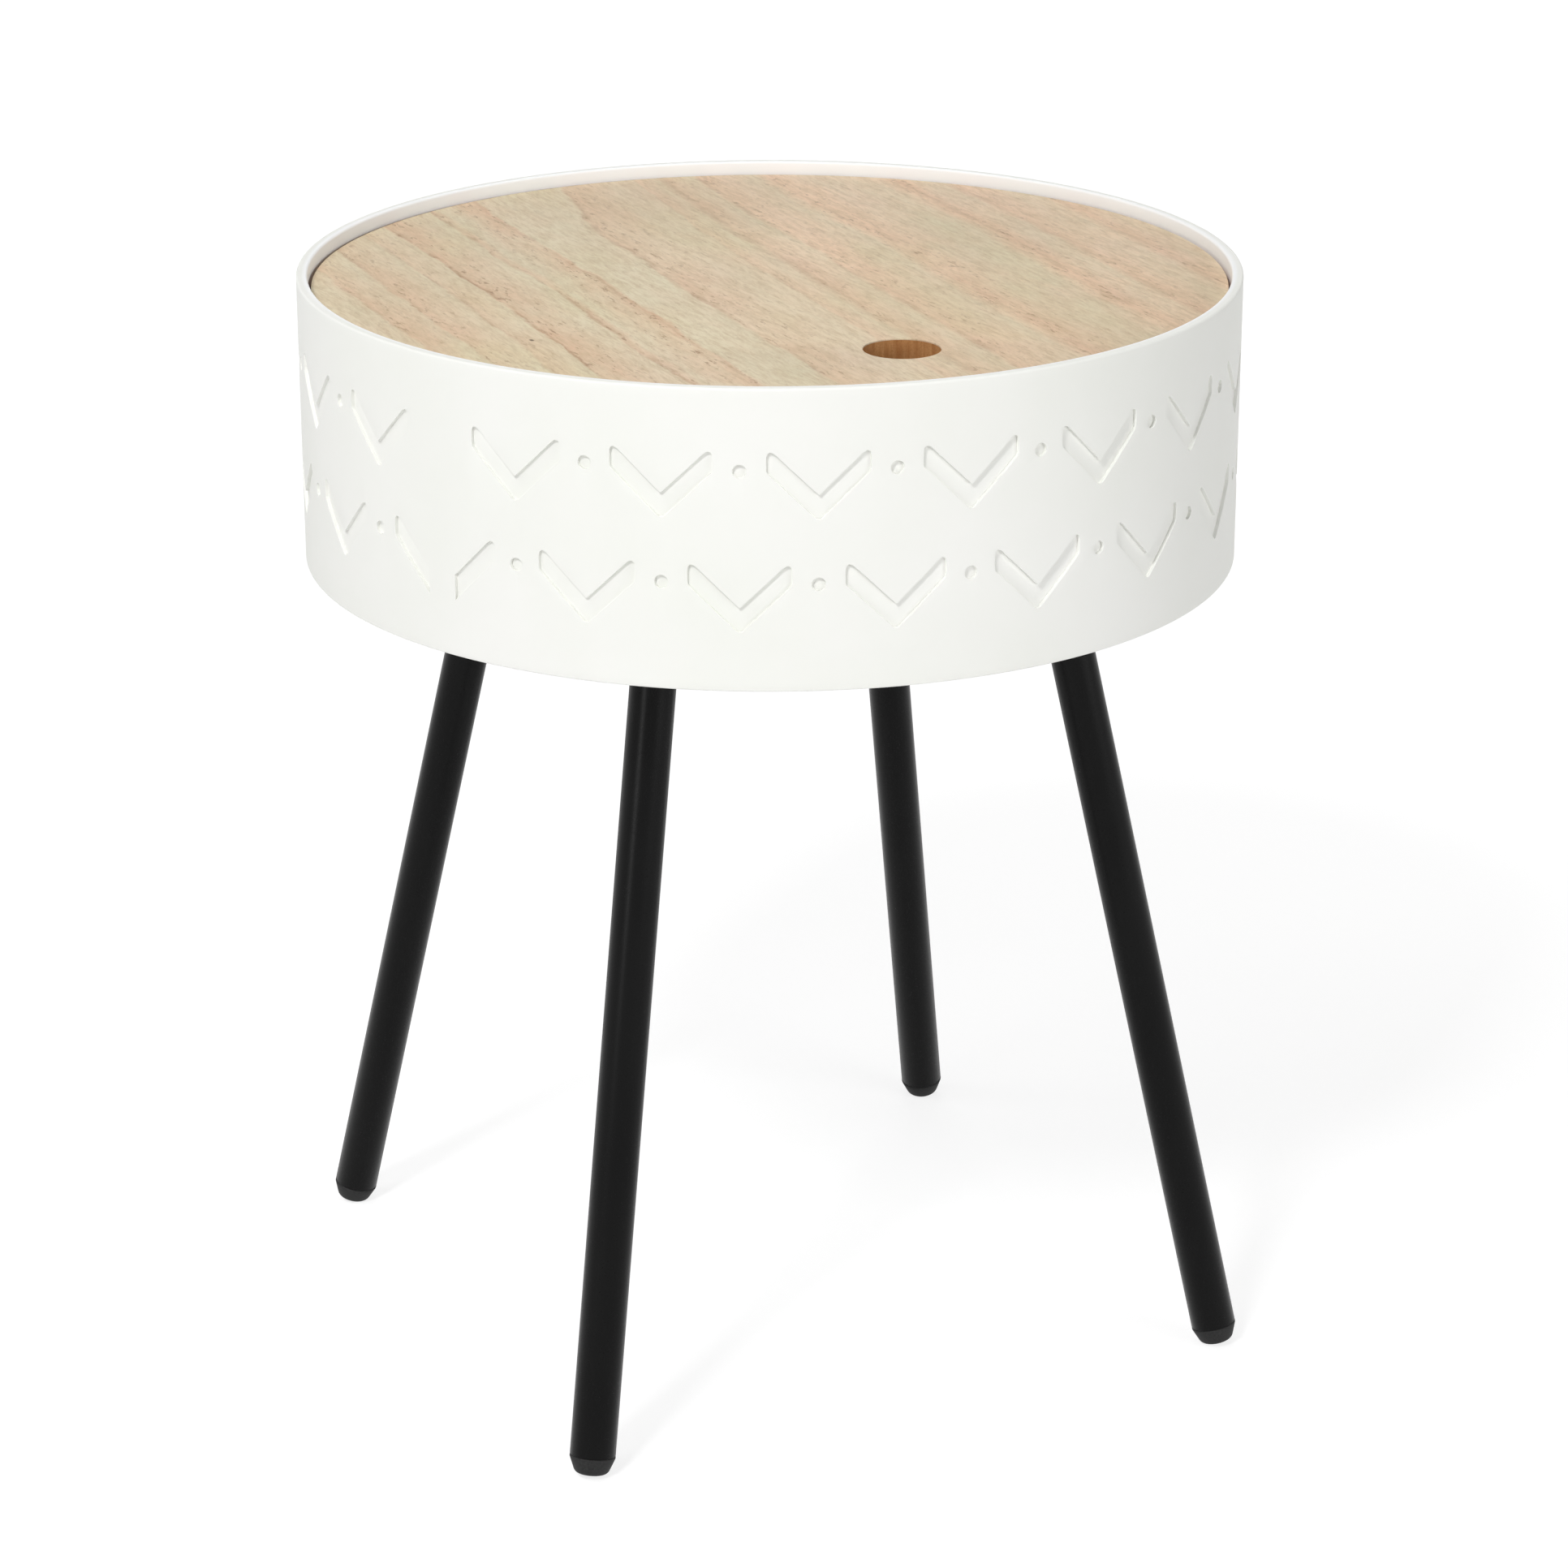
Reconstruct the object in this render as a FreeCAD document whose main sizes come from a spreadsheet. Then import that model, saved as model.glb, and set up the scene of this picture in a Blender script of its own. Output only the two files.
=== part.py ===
"""Round storage side table, in millimetres, +Z up, with its origin on the floor under the drum's centre.

A bent hoop with a pierced outer sheet stands on four splayed tube legs. Its lid lies loose inside the rim.
Angles round the table are counted from the front, -Y, towards +X.
"""
import FreeCAD, Part
import os
import re
import Sketcher

doc = FreeCAD.newDocument("storage_side_table")

# Driving sizes: millimetres, degrees where the name ends in angle, and counts
SIZES = {
    # Drum: a bent hoop with a thin pierced sheet wrapped round it
    "drum_radius": 190,
    "drum_height": 117,
    "rim_height": 447,
    "hoop_wall": 3,
    "sheet_wall": 1.4,
    "rim_round": 1,
    "hem_round": 0.6,
    "glue_line": 0.1,
    # Frieze: staggered rows of Vs with a dot between each two, broken at the sheet's seam
    "frieze_count": 20,
    "seam_angle": -65.25,
    "seam_margin": 14,
    "upper_drop": 40.8,
    "row_pitch": 43.6,
    "v_width": 39,
    "v_band": 10,
    "v_slope_angle": 44,
    "v_end_round": 2,
    "v_tip_round": 0.8,
    "dot_radius": 2.6,
    "dot_rise": 9.3,
    # Base panel, flush with the hoop's lower edge and held by brads through the wall
    "base_wall": 9,
    "brad_count": 14,
    "brad_radius": 0.7,
    "brad_length": 18,
    "brad_set": 0.3,
    "drive_gap": 0.05,
    # Lid: a board veneered on both faces, lying on cleats inside the hoop
    "lid_drop": 5.5,
    "lid_gap": 1.3,
    "lid_core_wall": 9,
    "veneer_wall": 0.6,
    "finger_hole_radius": 15,
    "finger_hole_offset": 123,
    "rest_count": 4,
    "rest_width": 12,
    "rest_length": 48,
    "rest_height": 20,
    # Legs: tubes screwed to slanted seats on plates under the base panel
    "leg_count": 4,
    "leg_angle": 45,
    "splay_angle": 13.3,
    "leg_circle": 123,
    "tube_radius": 9.2,
    "tube_wall": 1.2,
    "edge_break": 0.4,
    "push_gap": 0.05,
    "plate_side": 54,
    "plate_wall": 2.5,
    "plate_corner": 6,
    "boss_radius": 16,
    "seat_radius": 10.5,
    "seat_depth": 13,
    "screw_spread": 40,
    "screw_radius": 1.75,
    "screw_bite": 7,
    "screw_head_radius": 3.5,
    "screw_head_height": 1.8,
    "screw_gap": 0.3,
    "plug_flange": 2,
    "plug_depth": 20,
    "stud_radius": 4,
    "stud_grip": 18,
    "stud_reach": 9.5,
    "stud_lead": 0.8,
    "thread_gap": 0.05,
    # Foot caps: plugs with a tapered, rounded tip that is flattened where it meets the floor
    "cap_stem": 14,
    "cap_lip": 1,
    "cap_height": 7.6,
    "cap_tip_radius": 6.6,
    "cap_round": 2.6,
    "floor_flat": 0.3,
    "overrun": 5,
}

# Sizes that follow from the driving ones
DERIVED = {
    "base_level": "rim_height - drum_height",
    "sheet_inner": "drum_radius - sheet_wall",
    "hoop_outer": "sheet_inner - glue_line",
    "hoop_inner": "hoop_outer - hoop_wall",
    "panel_radius": "hoop_inner - glue_line",
    "margin_angle": "seam_margin / drum_radius * 1 rad / 1 deg",
    "step_angle": "(360 - margin_angle) / frieze_count",
    "start_angle": "seam_angle + margin_angle / 2",
    "v_rise": "v_width / 2 * tan(v_slope_angle)",
    "brad_level": "base_level + base_wall / 2",
    "brad_tip": "drum_radius - brad_set - brad_length",
    "brad_hole": "brad_radius + drive_gap",
    "lid_radius": "hoop_inner - lid_gap",
    "lid_bottom": "rim_height - lid_drop - lid_core_wall - 2 * veneer_wall",
    "core_bottom": "lid_bottom + veneer_wall",
    "core_top": "core_bottom + lid_core_wall",
    "tube_inner": "tube_radius - tube_wall",
    "push_radius": "tube_inner - push_gap",
    "thread_hole": "stud_radius + thread_gap",
    "tube_start": "seat_depth + plug_flange",
    "cap_lean": "atan((tube_radius - cap_tip_radius) / (cap_height - cap_lip)) / 1 deg",
    "cap_flat_radius": "cap_tip_radius - cap_round / tan(45 + cap_lean / 2)",
    "cap_turn": "base_level + floor_flat - cap_round - cap_flat_radius * sin(splay_angle)",
    "tube_end": "cap_turn / cos(splay_angle) - cap_height + cap_round",
    "cap_end": "tube_end + cap_height",
    "floor_reach": "2 * tube_radius",
}

sheet = doc.addObject("Spreadsheet::Sheet", "Sizes")
ROWS = [(name, str(number)) for name, number in SIZES.items()]
ROWS += [(name, "=" + formula) for name, formula in DERIVED.items()]
for row, (name, content) in enumerate(ROWS, start=1):
    sheet.set(f"A{row}", name)
    sheet.set(f"B{row}", content)
    sheet.setAlias(f"B{row}", name)
doc.recompute()

pieces = []


def cells(text):
    """Formula on the sheet's aliases, written without the sheet's name, as other objects need it."""
    aliases = dict(ROWS)
    return re.sub(r"[a-z_]+", lambda word: "Sizes." * (word[0] in aliases) + word[0], text)


def new_body(label, placement=None):
    """Empty body of one sub-part, with its place in the table."""
    body = doc.addObject("PartDesign::Body", label)
    body.Label = label
    if placement:
        body.setExpression("Placement", cells(placement))
    pieces.append(body)
    return body


def origin_feature(body, role):
    """Plane or axis of a body's own origin."""
    return next(feature for feature in body.Origin.OriginFeatures if feature.Role == role)


def new_sketch(body, name, plane, offset=None):
    """Sketch on one of its body's origin planes, moved or turned by an offset."""
    sketch = body.newObject("Sketcher::SketchObject", name)
    sketch.AttachmentSupport = (origin_feature(body, plane), [""])
    sketch.MapMode = "FlatFace"
    if offset:
        sketch.setExpression("AttachmentOffset", cells(offset))
    return sketch


def number(sketch, text):
    """Value of a formula on the sheet's aliases."""
    result = sketch.evalExpression(cells(text))
    return float(getattr(result, "Value", result))


def pin(sketch, geometry, point, x, y):
    """Ties one point of a sketch to the sizes."""
    for kind, axis, text in (("DistanceX", -2, x), ("DistanceY", -1, y)):
        if text == "0":
            sketch.addConstraint(Sketcher.Constraint("PointOnObject", geometry, point, axis))
        else:
            value = number(sketch, text)
            index = sketch.addConstraint(Sketcher.Constraint(kind, -1, 1, geometry, point, value))
            sketch.setExpression(f"Constraints[{index}]", cells(text))


def set_radius(sketch, geometry, text):
    """Ties a circle's or an arc's radius to the sizes."""
    index = sketch.addConstraint(Sketcher.Constraint("Radius", geometry, number(sketch, text)))
    sketch.setExpression(f"Constraints[{index}]", cells(text))


def add_circle(sketch, x, y, radius):
    """Circle with its centre and radius tied to the sizes."""
    centre = FreeCAD.Vector(number(sketch, x), number(sketch, y), 0)
    circle = sketch.addGeometry(Part.Circle(centre, FreeCAD.Vector(0, 0, 1), number(sketch, radius)))
    pin(sketch, circle, 3, x, y)
    set_radius(sketch, circle, radius)


def add_outline(sketch, corners):
    """Closed outline through corners (x, y) or (x, y, round), tied to the sizes, counter-clockwise."""
    spots = [FreeCAD.Vector(number(sketch, c[0]), number(sketch, c[1]), 0) for c in corners]
    ways = [(spots[k] - spots[k - 1]).normalize() for k in range(len(spots))]
    starts = list(spots)
    ends = list(spots)
    arcs = {}
    for k, corner in enumerate(corners):
        if len(corner) > 2:
            before = ways[k]
            after = ways[(k + 1) % len(ways)]
            radius = number(sketch, corner[2])
            left_turn = before.cross(after).z > 0
            trim = radius * abs(before.cross(after).z) / (1 + before.dot(after))
            ends[k] = spots[k] - before * trim
            starts[k] = spots[k] + after * trim
            inward = FreeCAD.Vector(-before.y, before.x, 0) * (radius if left_turn else -radius)
            circle = Part.Circle(ends[k] + inward, FreeCAD.Vector(0, 0, 1), radius)
            first, last = (ends[k], starts[k]) if left_turn else (starts[k], ends[k])
            arcs[k] = (Part.ArcOfCircle(circle, circle.parameter(first), circle.parameter(last)), left_turn)
    lines = []
    for k in range(len(spots)):
        lines.append(sketch.addGeometry(Part.LineSegment(starts[k - 1], ends[k])))
    for k, corner in enumerate(corners):
        here = lines[k]
        following = lines[(k + 1) % len(lines)]
        if k in arcs:
            shape, left_turn = arcs[k]
            arc = sketch.addGeometry(shape)
            arriving, leaving = (1, 2) if left_turn else (2, 1)
            sketch.addConstraint(Sketcher.Constraint("Tangent", here, 2, arc, arriving))
            sketch.addConstraint(Sketcher.Constraint("Tangent", arc, leaving, following, 1))
            set_radius(sketch, arc, corner[2])
            point = sketch.addGeometry(Part.Point(spots[k]), True)
            sketch.addConstraint(Sketcher.Constraint("PointOnObject", point, 1, here))
            sketch.addConstraint(Sketcher.Constraint("PointOnObject", point, 1, following))
            pin(sketch, point, 1, corner[0], corner[1])
        else:
            sketch.addConstraint(Sketcher.Constraint("Coincident", here, 2, following, 1))
            pin(sketch, here, 2, corner[0], corner[1])


def extrude(body, kind, name, sketch, length, forward=True, both=False):
    """Pad or pocket along the sketch's normal, against it, or half to each side."""
    feature = body.newObject("PartDesign::" + kind, name)
    feature.Profile = sketch
    feature.setExpression("Length", cells(length))
    natural_way = kind == "Pad"
    feature.Reversed = forward != natural_way
    if both:
        feature.SideType = "Symmetric"
        feature.Reversed = False
    return feature


def revolve(body, name, sketch, angle=None):
    """Solid turned about the sketch's upright axis, all round or by an angle to both sides."""
    feature = body.newObject("PartDesign::Revolution", name)
    feature.Profile = sketch
    feature.ReferenceAxis = (sketch, ["V_Axis"])
    if angle:
        feature.Midplane = True
        feature.setExpression("Angle", cells(angle))
    return feature


def repeat(body, name, features, spacing, count):
    """Copies of features round the table's axis, a set angle apart."""
    pattern = body.newObject("PartDesign::PolarPattern", name)
    pattern.Originals = features
    pattern.Axis = (origin_feature(body, "Z_Axis"), [""])
    pattern.Mode = "Spacing"
    pattern.setExpression("Offset", cells(spacing))
    pattern.setExpression("Occurrences", cells(count))
    body.Tip = pattern
    return pattern


# Brad holes, level with the middle of the base panel's edge
FIRST_BRAD = "placement(vector(0; 0; 0); rotationy(180 / brad_count))"
BRAD_STEP = "360 / brad_count * 1 deg"


def drill_brads(body, from_radius, reach):
    """Radial holes for the brads, from a radius outwards, all round a piece."""
    offset = FIRST_BRAD + " * placement(vector(0; 0; " + from_radius + "); rotationy(0))"
    sketch = new_sketch(body, "brad_circle", "XZ_Plane", offset)
    add_circle(sketch, "0", "brad_level", "brad_hole")
    hole = extrude(body, "Pocket", "brad_hole", sketch, reach)
    repeat(body, "brad_holes", [hole], BRAD_STEP, "brad_count")


# Hoop of the drum, with a rounded inner rim
drum_wall = new_body("drum_wall")
sketch = new_sketch(drum_wall, "hoop_section", "XZ_Plane")
add_outline(sketch, [
    ("hoop_inner", "base_level"),
    ("hoop_outer", "base_level"),
    ("hoop_outer", "rim_height"),
    ("hoop_inner", "rim_height", "rim_round"),
])
revolve(drum_wall, "hoop", sketch)
drill_brads(drum_wall, "hoop_inner - overrun", "hoop_wall + 2 * overrun")

# Outer sheet with the frieze cut through it and its two ends met at an upright seam
frieze_sheet = new_body("frieze_sheet")
sketch = new_sketch(frieze_sheet, "sheet_section", "XZ_Plane")
add_outline(sketch, [
    ("sheet_inner", "base_level"),
    ("drum_radius", "base_level", "hem_round"),
    ("drum_radius", "rim_height", "rim_round"),
    ("sheet_inner", "rim_height"),
])
revolve(frieze_sheet, "wrapped_sheet", sketch)


def v_outline(sketch, row, left=True, right=True):
    """One V of a row, whole or cut upright at its point to leave one arm."""
    inner = "rim_height - upper_drop - " + row + " * row_pitch"
    outer = inner + " - v_band"
    right_arm = [
        ("v_width / 2", outer + " + v_rise", "v_end_round"),
        ("v_width / 2", inner + " + v_rise", "v_end_round"),
    ]
    left_arm = [
        ("-1 * v_width / 2", inner + " + v_rise", "v_end_round"),
        ("-1 * v_width / 2", outer + " + v_rise", "v_end_round"),
    ]
    whole = left and right
    low_tip = [("0", outer, "v_end_round")] if whole else [("0", outer)]
    high_tip = [("0", inner, "v_tip_round")] if whole else [("0", inner)]
    add_outline(sketch, low_tip + (right_arm if right else []) + high_tip + (left_arm if left else []))


def dot(sketch, row):
    """One dot of a row, a little below the tops of its Vs."""
    add_circle(sketch, "0", "rim_height - upper_drop + dot_rise - " + row + " * row_pitch", "dot_radius")


def pierce(name, angle):
    """Sketch of a motif that stands at an angle round the sheet, just inside it."""
    offset = f"placement(vector(0; 0; 0); rotationy({angle})) * placement(vector(0; 0; hoop_inner); rotationy(0))"
    return new_sketch(frieze_sheet, name, "XZ_Plane", offset)


def cut_motif(name, sketch):
    """Motif cut outwards through the sheet."""
    return extrude(frieze_sheet, "Pocket", name, sketch, "drum_radius - hoop_inner + overrun")


# The seam parts one lower V into two arms, with a plain margin between them
drill_brads(frieze_sheet, "hoop_inner", "drum_radius - hoop_inner + overrun")
sketch = pierce("seam_start_arm", "start_angle")
v_outline(sketch, "1", left=False)
cut_motif("start_arm", sketch)
sketch = pierce("seam_end_arm", "start_angle - margin_angle")
v_outline(sketch, "1", right=False)
cut_motif("end_arm", sketch)

# Upper Vs stand over lower dots, and lower Vs stand half a step away under upper dots
sketch = pierce("upper_motif", "start_angle + step_angle / 2")
v_outline(sketch, "0")
dot(sketch, "1")
motif = cut_motif("upper_v", sketch)
repeat(frieze_sheet, "upper_row", [motif], "step_angle * 1 deg", "frieze_count")
sketch = pierce("lower_motif", "start_angle + step_angle")
v_outline(sketch, "1")
dot(sketch, "0")
motif = cut_motif("lower_v", sketch)
repeat(frieze_sheet, "lower_row", [motif], "step_angle * 1 deg", "frieze_count - 1")

# Base panel with pilot holes for the plates' screws and the brads
LEG_FRAME = "placement(vector(0; 0; 0); rotationz(leg_angle))"
UNDERSIDE = " * placement(vector(0; 0; base_level); rotationz(0))"


def screw_circles(sketch, centre, radius):
    """Four circles at a plate's screws."""
    for way in ("-1", "1"):
        for side in ("-1", "1"):
            along = centre + " + " + way + " * screw_spread / 2"
            add_circle(sketch, along, side + " * screw_spread / 2", radius)


base_panel = new_body("base_panel")
sketch = new_sketch(base_panel, "panel_circle", "XY_Plane", "placement(vector(0; 0; base_level); rotationz(0))")
add_circle(sketch, "0", "0", "panel_radius")
extrude(base_panel, "Pad", "panel", sketch, "base_wall")
sketch = new_sketch(base_panel, "pilot_circles", "XY_Plane", LEG_FRAME + UNDERSIDE)
screw_circles(sketch, "leg_circle", "screw_radius + drive_gap")
pilot = extrude(base_panel, "Pocket", "pilot_holes", sketch, "screw_bite + drive_gap")
repeat(base_panel, "pilot_holes_round", [pilot], "360 / leg_count * 1 deg", "leg_count")
drill_brads(base_panel, "brad_tip - drive_gap", "brad_length + overrun")

# Headless brads, driven through sheet and hoop into the panel's edge
base_brads = new_body("base_brads")
tip_offset = FIRST_BRAD + " * placement(vector(0; 0; brad_tip); rotationy(0))"
sketch = new_sketch(base_brads, "brad_circle", "XZ_Plane", tip_offset)
add_circle(sketch, "0", "brad_level", "brad_radius")
brad = extrude(base_brads, "Pad", "brad", sketch, "brad_length")
repeat(base_brads, "brads", [brad], BRAD_STEP, "brad_count")

# Curved cleats glued inside the hoop, level with the lid's underside
for step, side in enumerate(("front", "right", "back", "left")):
    turn = f"placement(vector(0; 0; 0); rotationz({step} * 360 / rest_count - 90))"
    lid_rest = new_body(side + "_lid_rest", turn)
    sketch = new_sketch(lid_rest, "rest_section", "XZ_Plane")
    add_outline(sketch, [
        ("panel_radius - rest_width", "lid_bottom - rest_height"),
        ("panel_radius", "lid_bottom - rest_height"),
        ("panel_radius", "lid_bottom"),
        ("panel_radius - rest_width", "lid_bottom"),
    ])
    revolve(lid_rest, "cleat", sketch, "rest_length / panel_radius * 1 rad")


# Lid: a board with a veneer on each face, and one finger hole through all three
def lid_layer(label, level, wall):
    """One round layer of the lid, with the finger hole towards the front."""
    layer = new_body(label)
    sketch = new_sketch(layer, "layer_circles", "XY_Plane", f"placement(vector(0; 0; {level}); rotationz(0))")
    add_circle(sketch, "0", "0", "lid_radius")
    add_circle(sketch, "0", "-1 * finger_hole_offset", "finger_hole_radius")
    extrude(layer, "Pad", "layer", sketch, wall)


lid_layer("lid_bottom_veneer", "lid_bottom", "veneer_wall")
lid_layer("lid_core", "core_bottom", "lid_core_wall")
lid_layer("lid_top_veneer", "core_top", "veneer_wall")


# Each leg hangs in a frame whose Z runs up the leg from the point where its axis meets the base panel
def turned_piece(label, frame, corners):
    """Round piece of a leg, turned from half its section."""
    body = new_body(label, frame)
    sketch = new_sketch(body, "half_section", "XZ_Plane")
    add_outline(sketch, corners)
    revolve(body, "turned", sketch)
    return body


def leg_plate(label, frame):
    """Pressed plate with a slanted, threaded seat for the leg and four screw holes."""
    body = new_body(label, frame)
    sketch = new_sketch(body, "plate_outline", "XY_Plane", "placement(vector(0; 0; -1 * plate_wall); rotationz(0))")
    half = "plate_side / 2"
    add_outline(sketch, [
        (half, "-1 * " + half, "plate_corner"),
        (half, half, "plate_corner"),
        ("-1 * " + half, half, "plate_corner"),
        ("-1 * " + half, "-1 * " + half, "plate_corner"),
    ])
    extrude(body, "Pad", "plate", sketch, "plate_wall")
    boss_foot = new_sketch(body, "boss_foot", "XY_Plane", "placement(vector(0; 0; -1 * plate_wall); rotationz(0))")
    add_circle(boss_foot, "0", "0", "boss_radius")
    place = "vector(seat_depth * sin(splay_angle); 0; -1 * seat_depth * cos(splay_angle))"
    seat_frame = f"placement({place}; rotationy(-1 * splay_angle))"
    seat = new_sketch(body, "seat", "XY_Plane", seat_frame)
    add_circle(seat, "0", "0", "seat_radius")
    boss = body.newObject("PartDesign::AdditiveLoft", "boss")
    boss.Profile = boss_foot
    boss.Sections = [seat]
    thread = new_sketch(body, "thread_circle", "XY_Plane", seat_frame)
    add_circle(thread, "0", "0", "thread_hole")
    extrude(body, "Pocket", "thread", thread, "seat_depth + overrun")
    sketch = new_sketch(body, "screw_circles", "XY_Plane", "placement(vector(0; 0; -1 * plate_wall); rotationz(0))")
    screw_circles(sketch, "0", "screw_radius + screw_gap")
    extrude(body, "Pocket", "screw_holes", sketch, "plate_wall + overrun")


def foot_cap(label, frame):
    """Plug in the tube's end with a tapered tip, flattened where it meets the floor."""
    cap = turned_piece(label, frame, [
        ("0", "cap_stem - tube_end"),
        ("0", "-1 * cap_end"),
        ("cap_tip_radius", "-1 * cap_end", "cap_round"),
        ("tube_radius", "-1 * tube_end - cap_lip"),
        ("tube_radius", "-1 * tube_end - edge_break"),
        ("tube_radius - edge_break", "-1 * tube_end"),
        ("push_radius", "-1 * tube_end"),
        ("push_radius", "cap_stem - tube_end"),
    ])
    sketch = new_sketch(cap, "under_floor", "XZ_Plane")
    add_outline(sketch, [
        ("-1 * floor_reach", "(floor_reach * sin(splay_angle) - base_level) / cos(splay_angle)"),
        ("-1 * floor_reach", "-1 * cap_end - cap_height"),
        ("floor_reach", "-1 * cap_end - cap_height"),
        ("floor_reach", "(-1 * floor_reach * sin(splay_angle) - base_level) / cos(splay_angle)"),
    ])
    extrude(cap, "Pocket", "floor_flat", sketch, "2 * floor_reach", both=True)


for step, side in enumerate(("front_right", "back_right", "back_left", "front_left")):
    spin = f"placement(vector(0; 0; 0); rotationz(leg_angle + {step} * 360 / leg_count - 90))"
    upright = spin + " * placement(vector(leg_circle; 0; base_level); rotationz(0))"
    slanted = upright + " * placement(vector(0; 0; 0); rotationy(-1 * splay_angle))"
    leg_plate(side + "_leg_plate", upright)
    turned_piece(side + "_leg_stud", slanted, [
        ("0", "-1 * seat_depth - stud_grip"),
        ("stud_radius - stud_lead", "-1 * seat_depth - stud_grip"),
        ("stud_radius", "stud_lead - seat_depth - stud_grip"),
        ("stud_radius", "stud_reach - seat_depth - stud_lead"),
        ("stud_radius - stud_lead", "stud_reach - seat_depth"),
        ("0", "stud_reach - seat_depth"),
    ])
    turned_piece(side + "_leg_plug", slanted, [
        ("0", "-1 * tube_start - plug_depth"),
        ("push_radius", "-1 * tube_start - plug_depth"),
        ("push_radius", "-1 * tube_start"),
        ("tube_radius", "-1 * tube_start"),
        ("tube_radius", "-1 * seat_depth"),
        ("thread_hole", "-1 * seat_depth"),
        ("thread_hole", "-1 * seat_depth - stud_grip - thread_gap"),
        ("0", "-1 * seat_depth - stud_grip - thread_gap"),
    ])
    turned_piece(side + "_leg", slanted, [
        ("tube_inner", "-1 * tube_end"),
        ("tube_radius - edge_break", "-1 * tube_end"),
        ("tube_radius", "edge_break - tube_end"),
        ("tube_radius", "-1 * tube_start"),
        ("tube_inner", "-1 * tube_start"),
    ])
    foot_cap(side + "_foot_cap", slanted)

# Pan-head screws through the plates into the base panel
plate_screws = new_body("plate_screws")
UNDER_HEAD = " * placement(vector(0; 0; base_level - plate_wall); rotationz(0))"
sketch = new_sketch(plate_screws, "shank_circles", "XY_Plane", LEG_FRAME + UNDER_HEAD)
screw_circles(sketch, "leg_circle", "screw_radius")
shanks = extrude(plate_screws, "Pad", "shanks", sketch, "plate_wall + screw_bite")
sketch = new_sketch(plate_screws, "head_circles", "XY_Plane", LEG_FRAME + UNDER_HEAD)
screw_circles(sketch, "leg_circle", "screw_head_radius")
heads = extrude(plate_screws, "Pad", "heads", sketch, "screw_head_height", forward=False)
repeat(plate_screws, "screws_round", [shanks, heads], "360 / leg_count * 1 deg", "leg_count")

doc.recompute()

# Every feature has to stand, and every cut has to leave new faces
for item in doc.Objects:
    if "Invalid" in item.State or "Error" in item.State:
        raise RuntimeError(f"{item.Label} failed: {item.State}")
    if item.TypeId == "PartDesign::Pocket" and len(item.Shape.Faces) <= len(item.BaseFeature.Shape.Faces):
        raise RuntimeError(f"{item.Label} cuts nothing")
for piece in pieces:
    if piece.Shape.isNull() or not piece.Shape.isValid():
        raise RuntimeError(f"{piece.Label} has no sound shape")

os.makedirs("parts", exist_ok=True)
for piece in pieces:
    piece.Shape.exportStep(f"parts/{piece.Label}.step")
print(f"{len(pieces)} nodes written")
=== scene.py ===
import math

import bmesh
import bpy
from mathutils import Matrix, Vector


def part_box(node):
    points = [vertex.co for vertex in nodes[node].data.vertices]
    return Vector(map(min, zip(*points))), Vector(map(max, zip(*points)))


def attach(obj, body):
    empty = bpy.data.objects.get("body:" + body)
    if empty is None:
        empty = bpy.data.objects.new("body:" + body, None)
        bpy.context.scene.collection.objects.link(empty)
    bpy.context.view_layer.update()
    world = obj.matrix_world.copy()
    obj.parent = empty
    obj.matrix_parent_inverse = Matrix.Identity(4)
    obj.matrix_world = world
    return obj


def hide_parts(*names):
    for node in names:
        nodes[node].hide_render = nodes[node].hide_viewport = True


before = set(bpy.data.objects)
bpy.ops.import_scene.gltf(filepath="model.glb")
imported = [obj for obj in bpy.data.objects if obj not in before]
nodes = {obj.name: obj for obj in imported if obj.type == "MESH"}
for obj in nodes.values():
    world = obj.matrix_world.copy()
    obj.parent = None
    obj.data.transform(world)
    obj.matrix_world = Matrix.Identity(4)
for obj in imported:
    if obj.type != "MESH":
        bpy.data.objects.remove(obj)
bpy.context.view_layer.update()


# Hoop of the drum
# A thin board bent into a ring and lacquered white inside and out. The rim and the hem keep the drum's
# full thickness, and the wall between is set back by the thickness of the pierced sheet glued round it.
MM = 0.001
DRUM_LOW, DRUM_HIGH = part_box("frieze_sheet")
DRUM_RADIUS = DRUM_HIGH[0]
RIM = DRUM_HIGH[2]
HEM = DRUM_LOW[2]
SHEET_WALL = 1.4 * MM
WALL_RADIUS = DRUM_RADIUS - SHEET_WALL
HOOP_INNER = 185.5 * MM
PLAIN_BAND = 3 * MM
SHEET_TOP = RIM - PLAIN_BAND
SHEET_FOOT = HEM + PLAIN_BAND
RIM_ROUND = 1 * MM
RIM_ROUND_STEPS = 5
HEM_ROUND = 0.6 * MM
HEM_ROUND_STEPS = 4
STEPS_ROUND = 240
BOARD_CREASE = 40
SAME_PLACE = 0.02 * MM
DOUBLE = 0.001 * MM


def only(piece):
    """Selects one piece alone and makes it the active one."""
    bpy.ops.object.select_all(action="DESELECT")
    bpy.context.view_layer.objects.active = piece
    piece.select_set(True)


def fresh(operator, **settings):
    """Adds a primitive with nothing else selected and returns it."""
    bpy.ops.object.select_all(action="DESELECT")
    operator(**settings)
    return bpy.context.object


def fix_place():
    """Puts the place, turn and scale of what is selected into its mesh."""
    bpy.ops.object.transform_apply(location=True, rotation=True, scale=True)


def edit(piece):
    """Opens one piece alone in edit mode."""
    only(piece)
    bpy.ops.object.mode_set(mode="EDIT")


def done():
    """Closes edit mode."""
    bpy.ops.object.mode_set(mode="OBJECT")


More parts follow.
